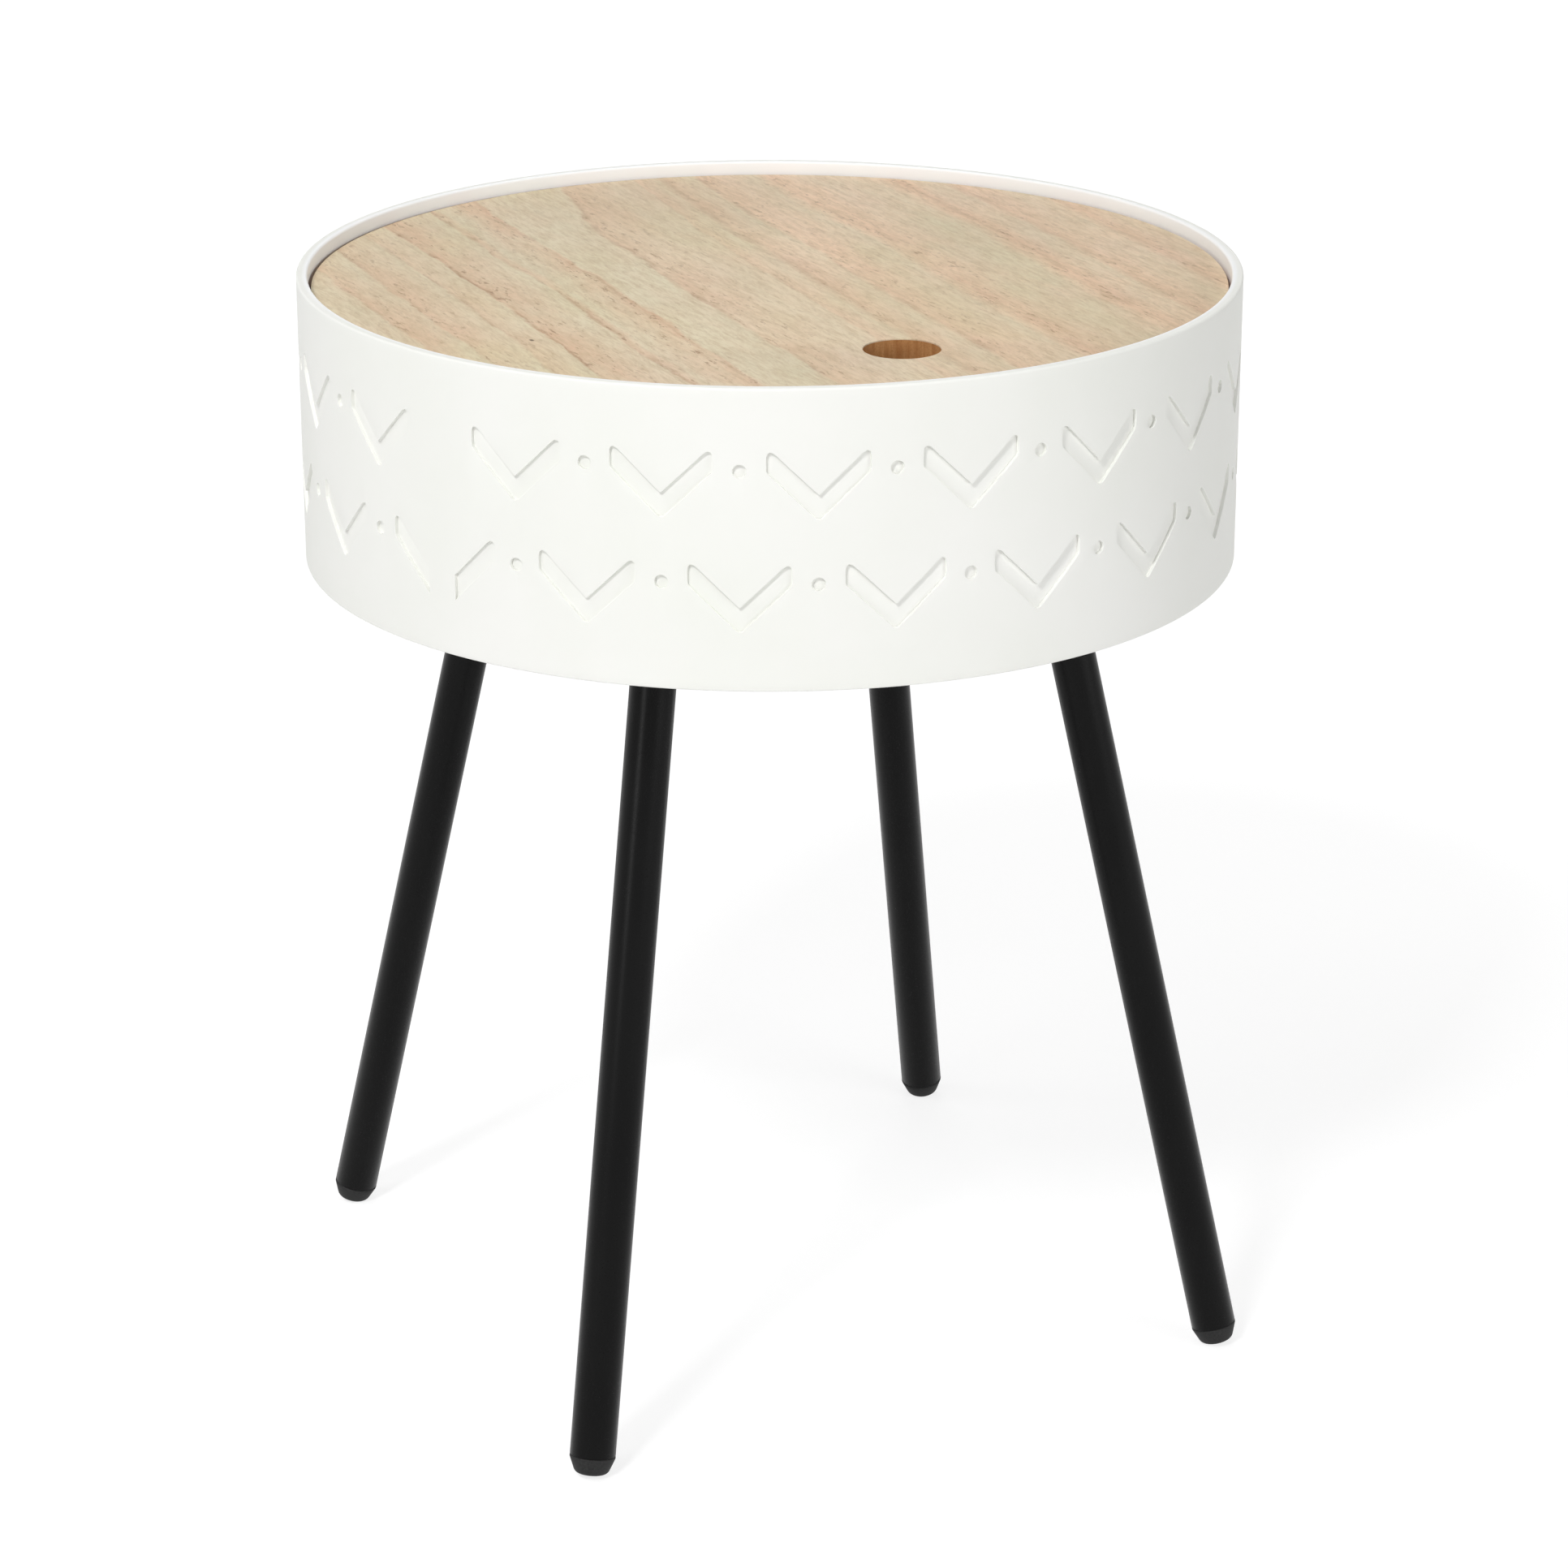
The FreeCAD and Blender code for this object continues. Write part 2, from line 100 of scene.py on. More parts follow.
def pick(kind, test):
    """Selects the vertices, edges or faces of the open piece whose middle passes a test."""
    mesh = bmesh.from_edit_mesh(bpy.context.object.data)
    bpy.context.tool_settings.mesh_select_mode = (kind == "verts", kind == "edges", kind == "faces")
    bpy.ops.mesh.select_all(action="DESELECT")
    for part in getattr(mesh, kind):
        corners = [part] if kind == "verts" else part.verts
        middle = sum((corner.co for corner in corners), Vector()) / len(corners)
        part.select_set(bool(test(middle)))
    mesh.select_flush_mode()
    bmesh.update_edit_mesh(bpy.context.object.data)


def near(value, target):
    """True where two lengths are the same."""
    return abs(value - target) < SAME_PLACE


def on_plain_band(p):
    """True on the rim and the hem, above and below the sheet."""
    return not SHEET_FOOT < p.z < SHEET_TOP


def saw(place, normal, **settings):
    """Cuts the whole open piece along a plane."""
    bpy.ops.mesh.select_all(action="SELECT")
    bpy.ops.mesh.bisect(plane_co=place, plane_no=normal, **settings)


def round_off(kind, size, steps):
    """Rounds the picked corners or edges of the open piece."""
    bpy.ops.mesh.bevel(offset=size, offset_type="OFFSET", segments=steps, affect=kind)


def close_mesh():
    """Merges doubles of the open piece and turns its faces outwards."""
    bpy.ops.mesh.select_all(action="SELECT")
    bpy.ops.mesh.remove_doubles(threshold=DOUBLE)
    bpy.ops.mesh.normals_make_consistent(inside=False)


def smooth(piece, crease):
    """Smooth shading, apart from edges sharper than so many degrees."""
    only(piece)
    bpy.ops.object.shade_smooth_by_angle(angle=math.radians(crease))


hoop_middle = ((HOOP_INNER + WALL_RADIUS) / 2, 0, (RIM + HEM) / 2)
hoop = fresh(bpy.ops.mesh.primitive_plane_add, size=1, location=hoop_middle, rotation=(math.pi / 2, 0, 0))
hoop.name = "drum_hoop"
hoop.scale = (WALL_RADIUS - HOOP_INNER, RIM - HEM, 1)
fix_place()
edit(hoop)
for level in (SHEET_TOP, SHEET_FOOT):
    saw((0, 0, level), (0, 0, 1))
pick("edges", lambda p: near(p.x, WALL_RADIUS) and on_plain_band(p))
bpy.ops.mesh.extrude_edges_move(TRANSFORM_OT_translate={"value": (SHEET_WALL, 0, 0)})
pick("verts", lambda p: near(p.z, RIM) and (near(p.x, HOOP_INNER) or near(p.x, DRUM_RADIUS)))
round_off("VERTICES", RIM_ROUND, RIM_ROUND_STEPS)
pick("verts", lambda p: near(p.z, HEM) and near(p.x, DRUM_RADIUS))
round_off("VERTICES", HEM_ROUND, HEM_ROUND_STEPS)
bpy.ops.mesh.select_all(action="SELECT")
bpy.ops.mesh.delete(type="ONLY_FACE")
pick("edges", lambda p: HOOP_INNER + RIM_ROUND < p.x < WALL_RADIUS - RIM_ROUND
     and not near(p.z, RIM) and not near(p.z, HEM))
bpy.ops.mesh.delete(type="EDGE")
pick("edges", lambda p: near(p.x, WALL_RADIUS) and on_plain_band(p))
bpy.ops.mesh.delete(type="EDGE")
bpy.ops.mesh.select_all(action="SELECT")
bpy.ops.mesh.spin(steps=STEPS_ROUND, angle=2 * math.pi, center=(0, 0, 0), axis=(0, 0, 1))
close_mesh()
done()
smooth(hoop, BOARD_CREASE)


def add_node(tree, kind, inputs=None, **settings):
    """Adds a node with its settings, and sets or links its inputs."""
    node = tree.nodes.new(kind)
    for key, value in settings.items():
        setattr(node, key, value)
    for key, value in (inputs or {}).items():
        if isinstance(value, bpy.types.NodeSocket):
            tree.links.new(value, node.inputs[key])
        else:
            node.inputs[key].default_value = value
    return node


def place_of(tree):
    """Place on the piece, in metres of the shared frame."""
    return add_node(tree, "ShaderNodeTexCoord").outputs["Object"]


def vectors(tree, operation, first, second=(0, 0, 0)):
    """Sum on vectors that gives a vector."""
    return add_node(tree, "ShaderNodeVectorMath", {0: first, 1: second}, operation=operation).outputs[0]


def length_of(tree, way):
    """Length of a vector."""
    return add_node(tree, "ShaderNodeVectorMath", {0: way}, operation="LENGTH").outputs["Value"]


def sums(tree, operation, first, second):
    """Sum on two numbers."""
    return add_node(tree, "ShaderNodeMath", {0: first, 1: second}, operation=operation).outputs[0]


def noise(tree, place, cells, detail=2.0, roughness=0.5):
    """Noise with so many cells a metre along each axis."""
    scaled = vectors(tree, "MULTIPLY", place, cells)
    settings = {"Vector": scaled, "Scale": 1.0, "Detail": detail, "Roughness": roughness}
    return add_node(tree, "ShaderNodeTexNoise", settings).outputs["Fac"]


def spread(tree, value, low, high, to_low=0.0, to_high=1.0):
    """A value's range stretched to another range, clamped."""
    settings = {"Value": value, "From Min": low, "From Max": high, "To Min": to_low, "To Max": to_high}
    return add_node(tree, "ShaderNodeMapRange", settings).outputs["Result"]


def blend_colours(tree, share, first, second):
    """Colour between two, by a share from 0 to 1."""
    node = add_node(tree, "ShaderNodeMix", data_type="RGBA", blend_type="MIX")
    for socket, value in ((node.inputs[0], share), (node.inputs[6], first), (node.inputs[7], second)):
        if isinstance(value, bpy.types.NodeSocket):
            tree.links.new(value, socket)
        else:
            socket.default_value = value
    return node.outputs[2]


def srgb(red, green, blue):
    """Linear colour of a screen colour."""
    return tuple((c / 12.92 if c <= 0.04045 else ((c + 0.055) / 1.055) ** 2.4)
                 for c in (red / 255, green / 255, blue / 255)) + (1.0,)


def new_material(name, **constants):
    """Principled material with what is the same all over set on its own sockets."""
    material = bpy.data.materials.new(name)
    material.use_nodes = True
    shader = material.node_tree.nodes["Principled BSDF"]
    for key, value in constants.items():
        shader.inputs[key.replace("_", " ")].default_value = value
    return material, material.node_tree, shader


def relief(tree, shader, height, depth, strength):
    """Bump of a height field of so many metres."""
    bump = add_node(tree, "ShaderNodeBump", {"Height": height, "Distance": depth, "Strength": strength})
    tree.links.new(bump.outputs["Normal"], shader.inputs["Normal"])


def colour_and_gloss(tree, shader, colour, grain, roughness):
    """Links the colour, and lets a grain vary the roughness between two values."""
    tree.links.new(colour, shader.inputs["Base Color"])
    tree.links.new(spread(tree, grain, *NOISE_SPAN, *roughness), shader.inputs["Roughness"])


def dress(piece, material):
    """Gives a piece one material all over."""
    piece.data.materials.clear()
    piece.data.materials.append(material)


NOISE_SPAN = (0.3, 0.7)
LACQUER_WHITE = srgb(243, 243, 239)
LACQUER_SHADE = srgb(239, 240, 234)
# Painted light: inside the hoop (its inner wall, the inner part of the rim top, the base and the lid rests)
# the white is painted brighter and cooler. It stands in for the light that falls on the inner wall and
# cancels the warm bounce from the lid.
PAINTED_LIGHT_INSIDE = srgb(251, 252, 252)
LACQUER_CLOUDS = (14, 14, 14)
PAINTED_LIGHT_FULL_WITHIN = 186.5 * MM
PAINTED_LIGHT_GONE_FROM = 188 * MM
PEEL_CELLS = (420, 420, 420)
PEEL_DEPTH = 0.02 * MM
PEEL_STRENGTH = 0.5
LACQUER_ROUGHNESS = (0.46, 0.56)

lacquer, tree, shader = new_material("white_satin_lacquer", Specular_IOR_Level=0.25)
place = place_of(tree)
clouding = spread(tree, noise(tree, place, LACQUER_CLOUDS, detail=3), *NOISE_SPAN)
outside = blend_colours(tree, clouding, LACQUER_WHITE, LACQUER_SHADE)
from_axis = length_of(tree, vectors(tree, "MULTIPLY", place, (1, 1, 0)))
# Painted light: the share of the brighter inside white. It is full within the inner radius and gone by the
# outer one.
painted_light_share = spread(tree, from_axis, PAINTED_LIGHT_FULL_WITHIN, PAINTED_LIGHT_GONE_FROM, 1.0, 0.0)
paint = blend_colours(tree, painted_light_share, outside, PAINTED_LIGHT_INSIDE)
orange_peel = noise(tree, place, PEEL_CELLS, detail=2)
colour_and_gloss(tree, shader, paint, orange_peel, LACQUER_ROUGHNESS)
relief(tree, shader, orange_peel, PEEL_DEPTH, PEEL_STRENGTH)
dress(hoop, lacquer)
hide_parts("drum_wall")
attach(hoop, "table")


# Pierced sheet round the drum
# A thin sheet with two staggered rows of Vs and dots cut through it, wrapped round the hoop, glued and
# lacquered with it. The lacquer softens the cut edges, and the frieze breaks off where the ends meet.
FRIEZE_COUNT = 20
SEAM_ANGLE = math.radians(-65.25)
SEAM_MARGIN = 14 * MM
UPPER_DROP = 40.8 * MM
ROW_PITCH = 43.6 * MM
V_WIDTH = 39 * MM
V_BAND = 10 * MM
V_SLOPE = math.radians(44)
V_RISE = V_WIDTH / 2 * math.tan(V_SLOPE)
V_ROUND = 2 * MM
V_TIP_ROUND = 0.8 * MM
V_ROUND_STEPS = 6
DOT_RADIUS = 2.6 * MM
DOT_RISE = 9.3 * MM
DOT_STEPS = 28
LIP = 0.18 * MM
LIP_STEPS = 3
SHEET_SINK = 0.2 * MM
SHEET_CREASE = 12
STRIP_START = math.radians(-66)
STRIP_SPARE = 12 * MM
MIRROR_MERGE = 0.01 * MM
CUT_SLACK = 0.0001 * MM

half_wall = (SHEET_WALL + SHEET_SINK) / 2
margin_angle = SEAM_MARGIN / DRUM_RADIUS
step_angle = (2 * math.pi - margin_angle) / FRIEZE_COUNT
start_angle = SEAM_ANGLE + margin_angle / 2


def draw_v(left=True, right=True):
    """One V, drawn flat with its inner point at the origin, whole or as one arm."""
    v = fresh(bpy.ops.mesh.primitive_plane_add, size=1, location=(V_WIDTH / 4, -V_BAND / 2, 0))
    v.scale = (V_WIDTH / 2, V_BAND, 1)
    fix_place()
    edit(v)
    pick("verts", lambda p: p.x > V_WIDTH / 4)
    bpy.ops.transform.translate(value=(0, V_RISE, 0))
    done()
    if left:
        other = v.modifiers.new("other_arm", "MIRROR")
        other.merge_threshold = MIRROR_MERGE
        bpy.ops.object.modifier_apply(modifier=other.name)
    edit(v)
    if left and not right:
        pick("faces", lambda p: p.x > 0)
        bpy.ops.mesh.delete(type="FACE")
    if left and right:
        pick("edges", lambda p: near(p.x, 0))
        bpy.ops.mesh.dissolve_edges(use_verts=False)
    arm_end = V_WIDTH / 2
    upper_half_angle = (math.pi / 2 - V_SLOPE) / 2
    lower_half_angle = (math.pi / 2 + V_SLOPE) / 2
    tip_half_angle = math.pi / 2 - V_SLOPE
    corners = [
        (V_ROUND, upper_half_angle, lambda p: near(abs(p.x), arm_end) and near(p.y, V_RISE)),
        (V_ROUND, lower_half_angle, lambda p: near(abs(p.x), arm_end) and near(p.y, V_RISE - V_BAND)),
    ]
    if left and right:
        corners += [
            (V_ROUND, tip_half_angle, lambda p: near(p.x, 0) and near(p.y, -V_BAND)),
            (V_TIP_ROUND, tip_half_angle, lambda p: near(p.x, 0) and near(p.y, 0)),
        ]
    for radius, half_angle, test in corners:
        pick("verts", test)
        round_off("VERTICES", radius / math.tan(half_angle), V_ROUND_STEPS)
    done()
    return v


def stamp(pattern, angle, drop):
    """Copy of a flat motif at an angle round the strip and a drop below the rim."""
    while angle < STRIP_START:
        angle += 2 * math.pi
    while angle > STRIP_START + 2 * math.pi:
        angle -= 2 * math.pi
    copy = pattern.copy()
    copy.data = pattern.data.copy()
    copy.location = (angle * DRUM_RADIUS, RIM - drop, 0)
    bpy.context.collection.objects.link(copy)
    return copy


whole_v = draw_v()
start_arm = draw_v(left=False)
end_arm = draw_v(right=False)
dot = fresh(bpy.ops.mesh.primitive_circle_add, vertices=DOT_STEPS, radius=DOT_RADIUS, fill_type="NGON")
lower_drop = UPPER_DROP + ROW_PITCH
stamps = []
for k in range(FRIEZE_COUNT):
    angle = start_angle + (k + 0.5) * step_angle
    stamps.append(stamp(whole_v, angle, UPPER_DROP))
    stamps.append(stamp(dot, angle, lower_drop - DOT_RISE))
for k in range(1, FRIEZE_COUNT):
    angle = start_angle + k * step_angle
    stamps.append(stamp(whole_v, angle, lower_drop))
    stamps.append(stamp(dot, angle, UPPER_DROP - DOT_RISE))
stamps.append(stamp(start_arm, start_angle, lower_drop))
stamps.append(stamp(end_arm, start_angle - margin_angle, lower_drop))
for pattern in (whole_v, start_arm, end_arm, dot):
    bpy.data.objects.remove(pattern)

strip_length = 2 * math.pi * DRUM_RADIUS
strip_middle = (STRIP_START * DRUM_RADIUS + strip_length / 2, (RIM + HEM) / 2, 0)
strip = fresh(bpy.ops.mesh.primitive_plane_add, size=1, location=strip_middle)
strip.name = "frieze_skin"
strip.scale = (strip_length + 2 * STRIP_SPARE, RIM - HEM - 2 * PLAIN_BAND + 2 * LIP, 1)
for copy in stamps:
    copy.select_set(True)
bpy.ops.object.join()
fix_place()
bpy.ops.object.convert(target="CURVE")
drawing = strip.data
drawing.dimensions = "2D"
drawing.fill_mode = "BOTH"
drawing.bevel_depth = LIP
drawing.bevel_resolution = LIP_STEPS
drawing.offset = -LIP
drawing.extrude = half_wall - LIP
bpy.ops.object.convert(target="MESH")
strip = bpy.context.object
edit(strip)
cuts = [STRIP_START + 2 * math.pi * k / STEPS_ROUND for k in range(STEPS_ROUND + 1)]
for k, angle in enumerate(cuts):
    saw((angle * DRUM_RADIUS, 0, 0), (1, 0, 0), clear_inner=k == 0, clear_outer=k == STEPS_ROUND)
saw((0, SHEET_TOP, 0), (0, 1, 0), clear_outer=True, threshold=CUT_SLACK)
saw((0, SHEET_FOOT, 0), (0, 1, 0), clear_inner=True, threshold=CUT_SLACK)
for end in (cuts[0], cuts[-1]):
    pick("verts", lambda p: near(p.x, end * DRUM_RADIUS) and SHEET_FOOT + LIP < p.y < SHEET_TOP - LIP)
    bpy.ops.mesh.dissolve_verts()
done()
for vertex in strip.data.vertices:
    angle = vertex.co.x / DRUM_RADIUS
    radius = DRUM_RADIUS - half_wall + vertex.co.z
    vertex.co = (radius * math.sin(angle), -radius * math.cos(angle), vertex.co.y)
edit(strip)
close_mesh()
for level in (SHEET_TOP, SHEET_FOOT):
    pick("edges", lambda p: near(p.z, level))
    bpy.ops.mesh.bridge_edge_loops()
close_mesh()
done()
smooth(strip, SHEET_CREASE)
dress(strip, lacquer)
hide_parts("frieze_sheet")
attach(strip, "table")


# Base panel and its brads
# A round board glued into the foot of the hoop, lacquered white with it. Headless brads through the wall
# hold its edge; they are set below the surface, filled and lacquered over.
BRAD_DARK = srgb(214, 214, 208)
BRAD_PALE = srgb(236, 236, 230)
BRAD_CELLS = (900, 900, 900)
BRAD_DEPTH = 0.05 * MM
BRAD_STRENGTH = 0.4
BRAD_ROUGHNESS = (0.4, 0.55)


def dress_node(name, material):
    """Gives a piece that stays as it was built a better finish."""
    for material_slot in nodes[name].material_slots:
        material_slot.material = material


dress_node("base_panel", lacquer)
brad_paint, tree, shader = new_material("lacquered_brad", Metallic=0.2)
filling = noise(tree, place_of(tree), BRAD_CELLS, detail=2)
colour_and_gloss(tree, shader, blend_colours(tree, filling, BRAD_DARK, BRAD_PALE), filling, BRAD_ROUGHNESS)
relief(tree, shader, filling, BRAD_DEPTH, BRAD_STRENGTH)
dress_node("base_brads", brad_paint)


# Lid rests
# Four short curved cleats of board, glued inside the hoop and lacquered with it. Their tops carry the lid.
for side in ("front", "right", "back", "left"):
    dress_node(side + "_lid_rest", lacquer)


# Lid
# A round fibreboard with a thin wood veneer pressed on each face and a finger hole drilled through it.
# The edges are lightly sanded and the veneer has a matt clear lacquer. It lies loose on the lid rests.
LID_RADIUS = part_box("lid_core")[1][0]
HOLE_RADIUS = 15 * MM
HOLE_OFFSET = 123 * MM
HOLE_STEPS = 72
DRILL_LENGTH = 40 * MM
SANDED_EDGE = 0.3 * MM
SANDED_STEPS = 3
EDGE_SLACK = 0.2 * MM


def lid_layer(node, name):
    """One round layer of the lid, drilled."""
    low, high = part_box(node)
    layer = fresh(bpy.ops.mesh.primitive_circle_add, vertices=STEPS_ROUND, radius=LID_RADIUS,
                  fill_type="NGON", location=(0, 0, low[2]))
    layer.name = name
    fix_place()
    edit(layer)
    bpy.ops.mesh.select_all(action="SELECT")
    bpy.ops.mesh.extrude_region_move(TRANSFORM_OT_translate={"value": (0, 0, high[2] - low[2])})
    close_mesh()
    done()
    drill = fresh(bpy.ops.mesh.primitive_cylinder_add, vertices=HOLE_STEPS, radius=HOLE_RADIUS,
                  depth=DRILL_LENGTH, location=(0, -HOLE_OFFSET, low[2]))
    only(layer)
    hole = layer.modifiers.new("finger_hole", "BOOLEAN")
    hole.operation = "DIFFERENCE"
    hole.object = drill
    bpy.ops.object.modifier_apply(modifier=hole.name)
    bpy.data.objects.remove(drill)
    return layer


def at_edge(p):
    """True on the lid's round edge and on the edge of the finger hole."""
    from_hole = math.hypot(p.x, p.y + HOLE_OFFSET)
    return math.hypot(p.x, p.y) > LID_RADIUS - EDGE_SLACK or from_hole < HOLE_RADIUS + SAME_PLACE


def sand_edge(layer, level):
    """Breaks a layer's round edges at one level."""
    edit(layer)
    pick("edges", lambda p: near(p.z, level) and at_edge(p))
    round_off("EDGES", SANDED_EDGE, SANDED_STEPS)
    done()


core = lid_layer("lid_core", "lid_board")
smooth(core, BOARD_CREASE)
top_face = lid_layer("lid_top_veneer", "lid_top_face")
sand_edge(top_face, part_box("lid_top_veneer")[1][2])
smooth(top_face, BOARD_CREASE)
under_face = lid_layer("lid_bottom_veneer", "lid_under_face")
sand_edge(under_face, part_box("lid_bottom_veneer")[0][2])
smooth(under_face, BOARD_CREASE)

BOARD_BROWN = srgb(176, 118, 70)
BOARD_TAN = srgb(205, 152, 98)
BOARD_DARK = srgb(140, 88, 50)
DRILL_MARKS = (500, 500, 60)
BOARD_FIBRES = (1500, 1500, 1500)
BOARD_FIBRES_SHOW = (0.45, 0.75, 0.0, 0.35)
BOARD_DEPTH = 0.06 * MM
BOARD_STRENGTH = 0.6

board, tree, shader = new_material("raw_fibreboard", Roughness=0.85, Specular_IOR_Level=0.2)
place = place_of(tree)
drill_marks = noise(tree, place, DRILL_MARKS, detail=3)
board_fibres = noise(tree, place, BOARD_FIBRES, detail=2)
tint = blend_colours(tree, spread(tree, drill_marks, *NOISE_SPAN), BOARD_BROWN, BOARD_TAN)
tint = blend_colours(tree, spread(tree, board_fibres, *BOARD_FIBRES_SHOW), tint, BOARD_DARK)
tree.links.new(tint, shader.inputs["Base Color"])
relief(tree, shader, board_fibres, BOARD_DEPTH, BOARD_STRENGTH)
dress(core, board)

# Growth rings cross the veneer from left to right. Each has, in millimetres, its place, how softly it
# starts and how far its warm wood fades, and then how dark its line is and how warm it is.
LEFT_RINGS = (
    (-165, 1.5, 12, 0.35, 0.6),
    (-149, 1.2, 16, 0.6, 0.6),
    (-129, 1.2, 10, 0.65, 0.3),
    (-115, 1.4, 21, 1.0, 1.0),
    (-89, 1.6, 4, 0.7, 0.7),
    (-67, 17, 2, 0.7, 1.0),
    (-39, 1.6, 26, 0.7, 0.6),
)
RIGHT_RINGS = (
    (2, 5, 8, 0.1, 0.2),
    (17, 5, 12, 0.4, 0.45),
    (36, 3, 22, 0.5, 0.5),
    (70, 8, 14, 0.5, 0.65),
    (117, 9, 9, 0.45, 0.65),
    (138, 4, 14, 0.35, 0.4),
    (166, 5, 10, 0.25, 0.45),
)
VENEER_REACH = 190
SOFT_START = 6
LINE_START = 1.5
LINE_WIDTH = 1.2
PALE_BEFORE = 0.8
PALE_AFTER = 0.6
WARM_BEFORE_LINE = 0.85
WARM_PAST_LINE = 0.9
LINE_TRACE = 0.1

# Layers of the wood's figure, each with its cells a metre across, along and through, detail and roughness.
FIGURE = {
    "drift": ((7, 9, 1), 1, 0.5),
    "waver": ((46, 30, 1), 3, 0.5),
    "ragged": ((330, 80, 1), 4, 0.6),
    "cloud": ((17, 7, 1), 3, 0.5),
    "tinge": ((31, 13, 1), 2, 0.5),
    "mottle": ((75, 24, 1), 4, 0.65),
    "broken": ((110, 48, 1), 4, 0.65),
    "fibres": ((560, 90, 1), 4, 0.75),
    "flecks": ((620, 150, 1), 3, 0.6),
}
SWAY = {"drift": 6 * MM, "waver": 3 * MM, "ragged": 2.2 * MM}
GRAIN_LEAN = (1, -0.032, 0)
ARCH_WIDTH = 16 * MM
ARCH_ALONG = (-20 * MM, 180 * MM)
ARCH_LEFT = (-60 * MM, -30 * MM)
ARCH_RIGHT = (0 * MM, 60 * MM)
ARCH_CURVE = 2.0
WOOD_CHANGE = (-50 * MM, 60 * MM)
LEFT_WOOD = srgb(227, 212, 183)
RIGHT_WOOD = srgb(252, 220, 190)
CLOUD_WOOD = srgb(216, 191, 161)
OCHRE_TINGE = srgb(220, 206, 168)
ROSY_TINGE = srgb(230, 202, 178)
PALE_WOOD = srgb(211, 207, 178)
WARM_WOOD = srgb(216, 178, 147)
RING_LINE = srgb(142, 102, 68)
FIBRE = srgb(186, 162, 130)
PORE = srgb(152, 122, 94)
KNOT = srgb(84, 66, 46)
KNOT_PLACE = (-124 * MM, -53.5 * MM, 0)
KNOT_STRETCH = (1.0, 0.6, 0)
KNOT_CORE = 0.5 * MM
KNOT_REACH = 1.1 * MM
KNOT_SHARE = 0.85

# Where each shade of the wood shows: the range of its layer and its share at both ends of that range.
CLOUD_SHOWS = (0.35, 0.68, 0.0, 0.85)
OCHRE_SHOWS = (0.52, 0.7, 0.0, 0.55)
ROSY_SHOWS = (0.47, 0.32, 0.0, 0.5)
PALE_SHOWS = (0.3, 0.7, 0.75, 0.2)
WARM_SHOWS = (0.32, 0.66, 0.1, 0.9)
LINE_SHOWS = (0.42, 0.62, 0.05, 0.75)
FIBRE_SHOWS = (0.4, 0.7, 0.0, 0.6)
FLECK_SHOWS = (0.58, 0.68, 0.0, 1.0)
PORES_BY_WARMTH = (0.0, 0.7, 0.2, 0.75)
VENEER_ROUGHNESS = (0.5, 0.62)
VENEER_DEPTH = 0.03 * MM
VENEER_STRENGTH = 0.5


def ring_bands(tree, across, start, end, rings):
    """Masks of the warm wood, the pale wood between and the lines, from a ramp over part of the width."""
    ramp = add_node(tree, "ShaderNodeValToRGB", {"Fac": spread(tree, across, start * MM, end * MM)})
    stops = []
    for at, rise, fade, line, warm in rings:
        stops.append((at - rise, (0, PALE_BEFORE, 0)))
        if rise > SOFT_START:
            stops.append((at - LINE_START, (WARM_BEFORE_LINE * warm, 0, 0)))
        stops.append((at, (warm, 0, line)))
        stops.append((at + min(LINE_WIDTH, fade / 2), (WARM_PAST_LINE * warm, 0, LINE_TRACE * line)))
        stops.append((at + fade, (0, PALE_AFTER, 0)))
    elements = ramp.color_ramp.elements
    while len(elements) < len(stops):
        elements.new(1.0)
    for element, (at, shares) in zip(elements, stops):
        element.position = (at - start) / (end - start)
    for element, (at, shares) in zip(elements, stops):
        element.color = shares + (1,)
    return ramp.outputs["Color"]


veneer, tree, shader = new_material("pale_veneer", Specular_IOR_Level=0.25)
place = place_of(tree)
figure = {name: noise(tree, place, *layer) for name, layer in FIGURE.items()}
axes = add_node(tree, "ShaderNodeSeparateXYZ", {"Vector": place}).outputs
lean = add_node(tree, "ShaderNodeVectorMath", {0: place, 1: GRAIN_LEAN}, operation="DOT_PRODUCT")
arch_along = sums(tree, "POWER", spread(tree, axes["Y"], *ARCH_ALONG), ARCH_CURVE)
arch_left = spread(tree, axes["X"], *ARCH_LEFT)
arch_right = spread(tree, axes["X"], *ARCH_RIGHT, ARCH_WIDTH, 0.0)
arch = sums(tree, "MULTIPLY", arch_along, sums(tree, "MULTIPLY", arch_left, arch_right))
across = sums(tree, "SUBTRACT", lean.outputs["Value"], arch)
for name, reach in SWAY.items():
    across = sums(tree, "ADD", across, spread(tree, figure[name], 0, 1, -reach, reach))
left = ring_bands(tree, across, -VENEER_REACH, 0, LEFT_RINGS)
right = ring_bands(tree, across, 0, VENEER_REACH, RIGHT_RINGS)
bands = blend_colours(tree, sums(tree, "GREATER_THAN", across, 0.0), left, right)
masks = add_node(tree, "ShaderNodeSeparateColor", {"Color": bands}).outputs
warm, pale, line = masks["Red"], masks["Green"], masks["Blue"]

